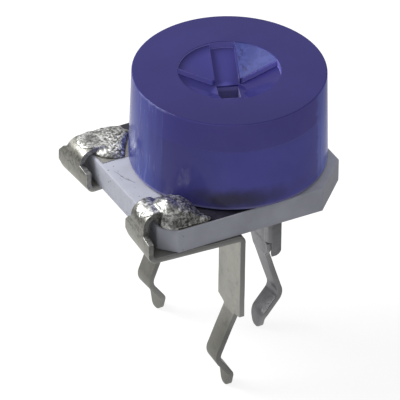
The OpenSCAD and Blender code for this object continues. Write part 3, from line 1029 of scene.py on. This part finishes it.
def solder_height(x, y, mounds):
    """Height of the solder over the pad: soft mounds of (x, y, reach in x, reach in y, height)."""
    total = 0.0
    for cx, cy, rx, ry, h in mounds:
        wobble = 1 + 0.07 * noise.noise(Vector((cx + 2.2 * math.atan2(y - cy, x - cx), cy, 0.0)))
        d = math.hypot((x - cx) / rx, (y - cy) / ry) / wobble
        total += (h * smooth_bump(d)) ** 3
    return total ** (1 / 3)


def solder_mound(name, side, mounds, step=0.025):
    """Closed mound of solder on one pad: a fine height field over a flat foot."""
    low = (BASE_LOW.x + 0.06, side * HOOK_Y - SOLDER_FIELD[1] / 2)
    count = [int(size / step) for size in SOLDER_FIELD]
    vertices, tops = [], {}
    edge_y = BASE_HIGH.y - 0.02
    for i in range(count[0] + 1):
        for j in range(count[1] + 1):
            x, y = low[0] + i * step, low[1] + j * step
            h = solder_height(x, y, mounds)
            # The mound stops at the base's edges and short of the turning cap
            wander = 0.03 * noise.noise(Vector((x * 3, y * 3, side)))
            corner = 0.14 + (x - BASE_LOW.x) - (abs(y) - (edge_y - CLIP_CORNER))
            free = min(edge_y - abs(y), math.hypot(x, y) - SOLDER_EDGE, x - BASE_LOW.x - 0.03, corner)
            h *= min(1.0, max(0.0, (free + wander) / 0.14)) ** 0.6
            if h > 0.012:
                tops[i, j] = len(vertices)
                vertices.append((x, y, FILM_TOP + h))
    faces = []
    for i, j in tops:
        ring = [(i, j), (i + 1, j), (i + 1, j + 1), (i, j + 1)]
        if all(key in tops for key in ring):
            faces.append([tops[key] for key in ring])
    used = sorted({v for face in faces for v in face})
    renumber = {v: n for n, v in enumerate(used)}
    top = [vertices[v] for v in used]
    faces = [[renumber[v] for v in face] for face in faces]
    total = len(top)
    foot = [(x, y, FILM_TOP - 0.004) for x, y, _ in top]
    closed = faces + [[v + total for v in reversed(face)] for face in faces]
    # A wall stands under each edge that has a face on one side only
    edges = dict.fromkeys((a, b) for face in faces for a, b in zip(face, face[1:] + face[:1]))
    for a, b in edges:
        if (b, a) not in edges:
            closed.append([b, a, a + total, b + total])
    mesh = bpy.data.meshes.new(name)
    mesh.from_pydata(top + foot, [], closed)
    return cleaned(object_from(name, mesh))


def solder_coat(name, side, rise, slope, tree, material):
    """Coat that the solder leaves over the hook, from high on its upright over the crown to its tip."""
    points, bends = end_terminal_path(rise, slope)
    path = bent_path(points[-3:], [0, HOOK_BEND, 0])
    crown = next(i for i, p in enumerate(path) if p.y > DECK + rise * COAT_START)
    path = path[crown:]

    def width(x, z, s):
        """Limits of the coat: round where it starts, then as wide as the hook, with a wavy edge."""
        wave = 0.06 * noise.noise(Vector((s * 4, side, 0)))
        close = min(1.0, (s + 0.02) / 0.3) ** 0.5
        middle = sum(HOOK_RANGE) / 2
        half = (HOOK_RANGE[1] - HOOK_RANGE[0]) / 2 + 0.01 + wave
        return middle - half * close, middle + half * close

    coat = folded_blank(
        name,
        path,
        width,
        tree,
        material,
        waver=0.05,
        thickness=COAT_THICKNESS,
        edge=0.035,
        smooth=3,
        lift=SHEET / 2 + 0.005,
    )
    coat.data.transform(at_clip(side))
    return coat


def flowed_together(mound, coat, side):
    """Mound and coat as one skin, and how far each point of it froze grainy."""
    solder = joined("solder", [mound, coat])
    remesh = solder.modifiers.new("one skin", "REMESH")
    remesh.mode = "VOXEL"
    remesh.voxel_size = SOLDER_VOXEL
    settle = solder.modifiers.new("settle", "SMOOTH")
    settle.factor = 0.5
    settle.iterations = 12
    applied(solder)
    marks = solder.data.attributes.new("grain", "FLOAT", "POINT")
    values = []
    for vertex in solder.data.vertices:
        p = vertex.co
        over_hook = min(1.0, max(0.0, (SOLDER_X + 0.05 - p.x) / 0.4))
        patch = noise.noise(Vector((p.x * 1.9, p.y * 1.9, 7.0 + side)))
        values.append(min(1.0, max(0.0, 0.85 - 0.7 * over_hook - 1.1 * max(0.0, patch))))
    marks.data.foreach_set("value", values)
    return solder


def solder_tree():
    """Pushes the solder's skin in and out: coarse lumps and fine crystals where the grain is."""
    inputs = {"Lumps": "Float", "Crystals": "Float", "Seed": "Float", "Material": "Material"}
    tree, nodes, enter, leave = new_tree("solder_skin", inputs)
    spot = nodes.add("GeometryNodeInputPosition").outputs["Position"]
    grain = nodes.add("GeometryNodeInputNamedAttribute", {"Name": "grain"}, data_type="FLOAT")
    grain = grain.outputs["Attribute"]
    normal = nodes.add("GeometryNodeInputNormal").outputs["Normal"]

    def noise_of(scale, detail):
        """Noise about zero."""
        values = {"Vector": spot, "W": enter["Seed"], "Scale": scale, "Detail": detail}
        raw = nodes.add("ShaderNodeTexNoise", values, noise_dimensions="4D").outputs["Fac"]
        return nodes.math("SUBTRACT", raw, 0.5)

    coarse = nodes.times(noise_of(3.2, 2.0), enter["Lumps"])
    fine = nodes.times(noise_of(11.0, 4.0), enter["Crystals"])
    push = nodes.times(nodes.math("ADD", coarse, fine), nodes.math("MULTIPLY_ADD", grain, 0.6, 0.4))
    values = {"Geometry": enter["Geometry"], "Offset": nodes.scaled(normal, push)}
    moved = nodes.add("GeometryNodeSetPosition", values)
    close_tree(nodes, moved.outputs["Geometry"], enter["Material"], leave)
    return tree


def end_solder(name, side, rise, slope, mounds, fold, skin, material):
    """The solder of one end: mound and coat as one skin, pushed into lumps and crystals."""
    mound = solder_mound(name, side, mounds)
    coat = solder_coat(name + "_coat", side, rise, slope, fold, material)
    solder = flowed_together(mound, coat, side)
    values = {"Lumps": 0.10, "Crystals": 0.075, "Seed": 2.0 + side, "Material": material}
    through_tree(solder, skin, values)
    solder.name = name
    return solder


# ---- Base ----


def base_piece():
    """Ceramic plate with its cut corners, softened edges, worn nicks and the rivet's hole."""
    left, right, side = BASE_LOW.x, BASE_HIGH.x, BASE_HIGH.y
    near, far = CLIP_CORNER, PLAIN_CORNER
    outline = [
        (left, -side + near),
        (left + near, -side),
        (right - far, -side),
        (right, -side + far),
        (right, side - far),
        (right - far, side),
        (left + near, side),
        (left, side - near),
    ]
    # Points along the outline, close enough for small nicks
    ring = []
    for i, corner in enumerate(outline):
        a, b = Vector(corner), Vector(outline[(i + 1) % len(outline)])
        count = max(2, round((b - a).length / 0.06))
        ring.extend(a.lerp(b, k / count) for k in range(count))
    # Levels of (inset, height), which soften the lower and the upper edge
    levels = [
        (0.035, UNDERSIDE),
        (0.01, UNDERSIDE + 0.012),
        (0.0, UNDERSIDE + 0.04),
        (0.0, UNDERSIDE + 0.3),
        (0.0, DECK - 0.3),
        (0.0, DECK - 0.05),
        (0.012, DECK - 0.014),
        (0.04, DECK),
    ]
    vertices, faces = [], []
    size = len(ring)
    for inset, z in levels:
        for i, p in enumerate(ring):
            along = (ring[(i + 1) % size] - ring[i - 1]).normalized()
            inward = Vector((-along.y, along.x))
            nick = max(0.0, noise.noise(Vector((p.x * 2.3, p.y * 2.3, 4.0 + z * 0.6))) - 0.42) * 0.16
            waver = 0.006 * noise.noise(Vector((p.x * 1.1, p.y * 1.1, z * 2)))
            q = p + inward * (inset + nick * (z > DECK - 0.1) + max(0.0, waver))
            vertices.append((q.x, q.y, z))
    for level in range(len(levels) - 1):
        lower, upper = level * size, (level + 1) * size
        for i in range(size):
            j = (i + 1) % size
            faces.append((lower + i, lower + j, upper + j, upper + i))
    faces.append(tuple(reversed(range(size))))
    faces.append(tuple((len(levels) - 1) * size + i for i in range(size)))
    plate = cleaned(object_from("base_plate", mesh_from("base_plate", vertices, faces)))
    low, high = UNDERSIDE - 0.2, DECK + 0.2
    hole = lathe("hole", [(0, low), (BASE_HOLE, low), (BASE_HOLE, high), (0, high)], 96)
    return cleaned(cut(plate, hole))


# ---- Rivet ----


def rivet_piece():
    """Tubular rivet: rolled foot and shoulder, narrow neck and a flared head."""
    foot, head = RIVET_LOW.z, RIVET_HIGH.z
    outline = [
        (RIVET_BORE, foot),
        (RIVET_FOOT, foot),
        (RIVET_FOOT, foot + RIVET_FLANGE),
        (RIVET_SHANK, foot + RIVET_FLANGE),
        (RIVET_SHANK, DECK),
        (RIVET_SHOULDER, DECK),
        (RIVET_SHOULDER, DECK + RIVET_FLANGE),
        (RIVET_NECK, DECK + RIVET_FLANGE),
        (RIVET_NECK, head - RIVET_FLANGE),
        (RIVET_HEAD, head - RIVET_FLANGE),
        (RIVET_HEAD, head),
        (RIVET_BORE, head),
    ]
    radii = [0.1, 0.08, 0.08, 0, 0, 0.07, 0.08, 0, 0, 0.07, 0.08, 0.12]
    return lathe("rivet_tube", rounded_outline(outline, radii, 5), 128)


# ---- Rotor cap ----


def cap_shell():
    """The cap's body of revolution: drafted side, hollow skirt, boss and bore."""
    bottom, top = CAP_LOW.z, CAP_HIGH.z
    outline = [
        (0, BORE_TOP),
        (BORE_RADIUS, BORE_TOP),
        (BORE_RADIUS, DISC_TOP),
        (BOSS_RADIUS, DISC_TOP),
        (BOSS_RADIUS, top - ROOF),
        (SKIRT_INNER, top - ROOF),
        (SKIRT_INNER, bottom),
        (CAP_RADIUS, bottom),
        (CAP_TOP_RADIUS, top),
        (0, top),
    ]
    radii = [0, 0.1, 0.05, 0.05, 0.12, 0.12, 0.06, 0.06, 0.05, 0]
    return lathe("rotor_cap_shell", rounded_outline(outline, radii, 8), 256)


def dish(name, drop):
    """Solid that fills the driver recess: a cone below a short lip."""
    top = CAP_HIGH.z
    corner = SLOT_WIDTH / math.sqrt(2)
    outline = [
        (0, top - RECESS_DEPTH - drop),
        (corner, top - RECESS_DEPTH - drop),
        (RECESS_RADIUS, top - RECESS_LIP - drop),
        (RECESS_RADIUS, top + 0.4),
        (0, top + 0.4),
    ]
    return lathe(name, outline, 192)


def rotor_cap():
    """Cap with its driver recess, two crossed slots, square hole and the pockets for the tabs."""
    cap = cap_shell()
    top = CAP_HIGH.z
    cut(cap, dish("recess", 0))
    half, reach = SLOT_WIDTH / 2, RECESS_RADIUS + 0.5
    for low, high in (((-reach, -half), (reach, half)), ((-half, -reach), (half, reach))):
        slot = dish("slot", SLOT_STEP)
        cut(slot, block("slot_side", (*low, top - 2), (*high, top + 1)), "INTERSECT")
        cut(cap, slot)
    half = CENTRE_HOLE / 2
    cut(cap, block("hole", (-half, -half, BORE_TOP - 0.1), (half, half, top)))
    for side in (-1, 1):
        low = (-POCKET_WIDTH / 2, side * TAB_Y - POCKET_DEPTH / 2, DISC_TOP - 0.1)
        high = (POCKET_WIDTH / 2, side * TAB_Y + POCKET_DEPTH / 2, DISC_TOP + TAB_HEIGHT + 0.02)
        cut(cap, block("pocket", low, high))
    cleaned(cap, 2e-4)
    soften_recess(cap)
    cap.data.transform(Matrix.Rotation(ROTOR_ANGLE, 4, "Z"))
    cap.name = "rotor_cap_moulding"
    return cap


def soften_recess(cap):
    """Small round edges on the sharp corners of the driver recess."""
    shape = bmesh.new()
    shape.from_mesh(cap.data)
    bmesh.ops.dissolve_limit(
        shape, angle_limit=math.radians(0.5), verts=shape.verts, edges=shape.edges, delimit=set()
    )
    sharp = []
    for edge in shape.edges:
        if len(edge.link_faces) != 2:
            continue
        inside = all(v.co.z > BORE_TOP + 0.2 and v.co.xy.length < RECESS_RADIUS + 0.02 for v in edge.verts)
        lip = all(v.co.xy.length > RECESS_RADIUS - 0.03 for v in edge.verts)
        if inside and not lip and edge.calc_face_angle() > math.radians(20):
            sharp.append(edge)
    bmesh.ops.bevel(shape, geom=sharp, offset=0.015, segments=2, affect="EDGES", clamp_overlap=True)
    bmesh.ops.recalc_face_normals(shape, faces=shape.faces)
    shape.to_mesh(cap.data)
    shape.free()


# ---- Stage ----

CAMERA_HEIGHT = math.radians(34.7637)
CAMERA_ROLL = math.radians(-0.8693)
CAMERA_DISTANCE = 350.0
CAMERA_AIM = (-0.9235, -1.5395)
CAMERA_LENS = 932.0
CAMERA_LEVEL = 4.3


def camera():
    """Camera aimed CAMERA_AIM across and up, in its picture's plane, from the axis at CAMERA_LEVEL."""
    ca, sa = math.cos(VIEW_AZIMUTH), math.sin(VIEW_AZIMUTH)
    ce, se = math.cos(CAMERA_HEIGHT), math.sin(CAMERA_HEIGHT)
    toward = Vector((sa * ce, -ca * ce, se))
    right = Vector((ca, sa, 0))
    up = toward.cross(right)
    target = Vector((0, 0, CAMERA_LEVEL)) + right * CAMERA_AIM[0] + up * CAMERA_AIM[1]
    cr, sr = math.cos(CAMERA_ROLL), math.sin(CAMERA_ROLL)
    turned = Matrix((right * cr - up * sr, right * sr + up * cr, toward)).transposed()
    data = bpy.data.cameras.new("camera")
    data.lens = CAMERA_LENS
    data.sensor_width = 36
    data.clip_start = 0.01
    data.clip_end = 10
    made = object_from("camera", data)
    made.matrix_world = Matrix.Translation((target + toward * CAMERA_DISTANCE) * MM) @ turned.to_4x4()
    bpy.context.scene.camera = made


def area_lamp(name, place, target, size, power):
    """A round lamp that faces its target, with its places and size in millimetres."""
    data = bpy.data.lights.new(name, "AREA")
    data.shape = "DISK"
    data.size = size * MM
    data.energy = power
    made = object_from(name, data)
    place, target = Vector(place) * MM, Vector(target) * MM
    made.location = place
    made.rotation_mode = "QUATERNION"
    made.rotation_quaternion = (target - place).to_track_quat("-Z", "Y")


# Direction of the white side of the surroundings, behind and to the left of the part
WHITE_SIDE = Vector((-0.62, 0.78, 0)).normalized()


def surroundings():
    """White to the eye; for reflections white behind and at the left, greyer in front; soft fill."""
    world = bpy.data.worlds.new("surroundings")
    bpy.context.scene.world = world
    world.use_nodes = True
    world.node_tree.nodes.clear()
    nodes = Nodes(world.node_tree)
    rays = nodes.add("ShaderNodeLightPath").outputs
    way = nodes.add("ShaderNodeTexCoord").outputs["Generated"]
    side = nodes.vector("DOT_PRODUCT", way, tuple(WHITE_SIDE))
    height = nodes.split(way)["Z"]
    room = nodes.times(nodes.steps(side, -0.5, 0.6, 0.22, 0.62), nodes.steps(height, -0.05, 0.6, 0.35, 1.3))
    seen = nodes.math("MAXIMUM", rays["Is Glossy Ray"], rays["Is Transmission Ray"])
    strength = nodes.add("ShaderNodeMix", {"Factor": seen, 2: 0.46, 3: room}).outputs[0]
    strength = nodes.add("ShaderNodeMix", {"Factor": rays["Is Camera Ray"], 2: strength, 3: 1.0}).outputs[0]
    back = nodes.add("ShaderNodeBackground", {"Color": (1, 1, 1, 1), "Strength": strength})
    output = nodes.add("ShaderNodeOutputWorld")
    world.node_tree.links.new(back.outputs["Background"], output.inputs["Surface"])


def floor_sheet():
    """White sheet under the leads, which keeps the part's soft shadow."""
    material, nodes, output = new_material("floor")
    rays = nodes.add("ShaderNodeLightPath").outputs
    place = nodes.place()
    side = nodes.vector("DOT_PRODUCT", place, tuple(WHITE_SIDE))
    distant = nodes.steps_mm(nodes.vector("LENGTH", place), 9, 30, 1.0, 0.4)
    room = nodes.times(nodes.steps_mm(side, -12, 9, 0.25, 0.95), distant)
    shade = nodes.add("ShaderNodeBsdfDiffuse", {"Color": (0.42, 0.42, 0.42, 1)}).outputs[0]
    paper = nodes.add("ShaderNodeBsdfDiffuse", {"Color": (0.26, 0.26, 0.26, 1)}).outputs[0]
    glow = nodes.add("ShaderNodeEmission", {"Color": (1, 1, 1, 1), "Strength": 0.84}).outputs[0]
    seen = nodes.add("ShaderNodeAddShader", {0: paper, 1: glow}).outputs[0]
    mirror = nodes.add("ShaderNodeEmission", {"Color": (1, 1, 1, 1), "Strength": room}).outputs[0]
    glossy = nodes.math("MAXIMUM", rays["Is Glossy Ray"], rays["Is Transmission Ray"])
    pick = nodes.add("ShaderNodeMixShader", {0: glossy, 1: shade, 2: mirror}).outputs[0]
    pick = nodes.add("ShaderNodeMixShader", {0: rays["Is Camera Ray"], 1: pick, 2: seen}).outputs[0]
    nodes.tree.links.new(pick, output.inputs["Surface"])
    half, height = 500 * MM, (LEAD_TIP - 0.02) * MM
    around = [(-half, -half, height), (half, -half, height), (half, half, height), (-half, half, height)]
    floor = object_from("floor", mesh_from("floor", around, [(0, 1, 2, 3)]))
    floor.data.materials.append(material)


# ---- Build ----

CERAMIC = ceramic_material()
FILM = film_material()
SILVER = sheet_metal("silver_pad", (0.42, 0.41, 0.38), (0.55, 0.54, 0.5), (0.3, 0.3, 0.28), 0.42)
TINNED = sheet_metal("tinned", (0.33, 0.325, 0.29), (0.52, 0.515, 0.465), (0.60, 0.60, 0.59), 0.36, 0.62)
PLATED = sheet_metal("tinned_cool", (0.26, 0.26, 0.275), (0.42, 0.42, 0.435), (0.55, 0.55, 0.56), 0.36, 0.36)
RIVET = sheet_metal("rivet", (0.40, 0.36, 0.25), (0.58, 0.53, 0.4), (0.3, 0.27, 0.2), 0.3)
SPRING = sheet_metal("spring", (0.38, 0.35, 0.28), (0.58, 0.54, 0.44), (0.3, 0.28, 0.22), 0.26)
SOLDER = solder_material()
BLUE = blue_plastic()

for node, material in (
    ("resistive_track", FILM),
    ("front_end_pad", SILVER),
    ("back_end_pad", SILVER),
    ("wiper_contact", SPRING),
):
    dress(node, material)

FOLD = folding_tree()
SKIN = solder_tree()

# Mounds of solder: (x, y, reach in x, reach in y, height)
FRONT_MOUNDS = [
    (SOLDER_X - 0.02, -HOOK_Y + 0.02, 0.80, 0.90, 0.69),
    (SOLDER_X - 0.42, -HOOK_Y + 0.04, 0.50, 0.64, 0.60),
    (SOLDER_X + 0.02, -HOOK_Y - 0.5, 0.66, 0.55, 0.30),
    (SOLDER_X + 0.52, -HOOK_Y - 0.62, 0.62, 0.5, 0.2),
]
BACK_MOUNDS = [
    (SOLDER_X + 0.10, HOOK_Y - 0.05, 0.90, 1.0, 0.28),
    (SOLDER_X + 0.62, HOOK_Y - 0.32, 0.72, 0.80, 0.20),
]

# The two ends: name, side, the hook's rise and slope, and the mounds of solder
ENDS = (
    ("front", -1, FRONT_RISE, FRONT_SLOPE, FRONT_MOUNDS),
    ("back", 1, BACK_RISE, BACK_SLOPE, BACK_MOUNDS),
)
for end, side, rise, slope, _ in ENDS:
    piece = end_terminal(f"{end}_terminal_sheet", side, rise, slope, FOLD, TINNED)
    finish_piece(piece, f"{end}_terminal", "base", TINNED)
finish_piece(wiper_terminal(FOLD, PLATED), "wiper_terminal", "base", PLATED)
for end, side, rise, slope, mounds in ENDS:
    piece = end_solder(f"{end}_solder_mound", side, rise, slope, mounds, FOLD, SKIN, SOLDER)
    finish_piece(piece, f"{end}_solder", "base", SOLDER, sharp=60)

finish_piece(base_piece(), "ceramic_base", "base", CERAMIC, sharp=50)
finish_piece(rivet_piece(), "centre_rivet", "base", RIVET)
finish_piece(rotor_cap(), "rotor_cap", "rotor", BLUE, sharp=16)

camera()
surroundings()
floor_sheet()
area_lamp("key", place=(-50, 40, 66), target=(0, 0, 4), size=50, power=0.065)
bpy.context.scene.view_settings.view_transform = "Standard"
